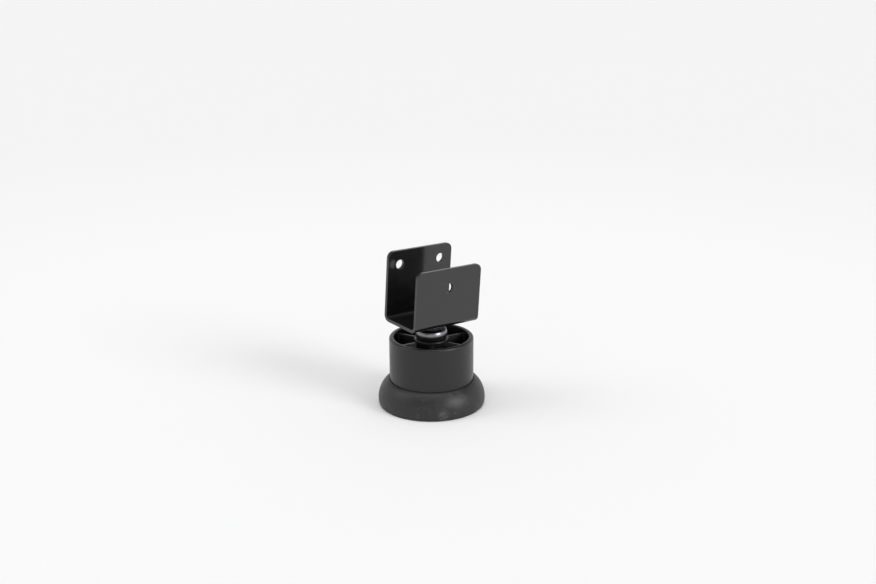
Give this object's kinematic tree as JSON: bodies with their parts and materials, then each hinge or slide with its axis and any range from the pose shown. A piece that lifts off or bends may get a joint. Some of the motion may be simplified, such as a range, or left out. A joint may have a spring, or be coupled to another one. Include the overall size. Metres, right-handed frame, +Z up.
{
  "type": "furniture leg",
  "caption": "Height-adjustable furniture leg: a folded channel bracket on a turned spindle that screws into a ribbed plastic foot with a flared rubber shoe.",
  "frame": {"origin": "on the spindle's axis, on the floor under the sole", "axes": "+Z up along the spindle, +X along the bracket's length, +Y towards its tall flange"},
  "size_m": [0.0644, 0.0644, 0.0952],
  "materials": {
    "rubber": "matt, dusty",
    "plastic": "fine satin grain",
    "insert_steel": "blackened",
    "spindle_steel": "blackened and polished",
    "coated_sheet": "semi-gloss dip coat"
  },
  "bodies": {
    "foot": {"rubber_shoe": "rubber", "foot_body": "plastic", "threaded_insert": "insert_steel"},
    "bracket": {"bracket": "coated_sheet"},
    "spindle": {"spindle": "spindle_steel"}
  },
  "joints": [
    {"name": "height_adjust", "type": "slide", "parent": "foot", "child": "bracket", "axis": [0, 0, 1], "range_m": [0, 0.015]},
    {"name": "spindle_turn", "type": "hinge", "parent": "bracket", "child": "spindle", "pos_m": [0, 0, 0.0512], "axis": [0, 0, 1], "range_deg": [0, 3600]}
  ],
  "couplings": [
    {"joint": "spindle_turn", "follows": "height_adjust", "rad_per_m": 4188.8}
  ]
}
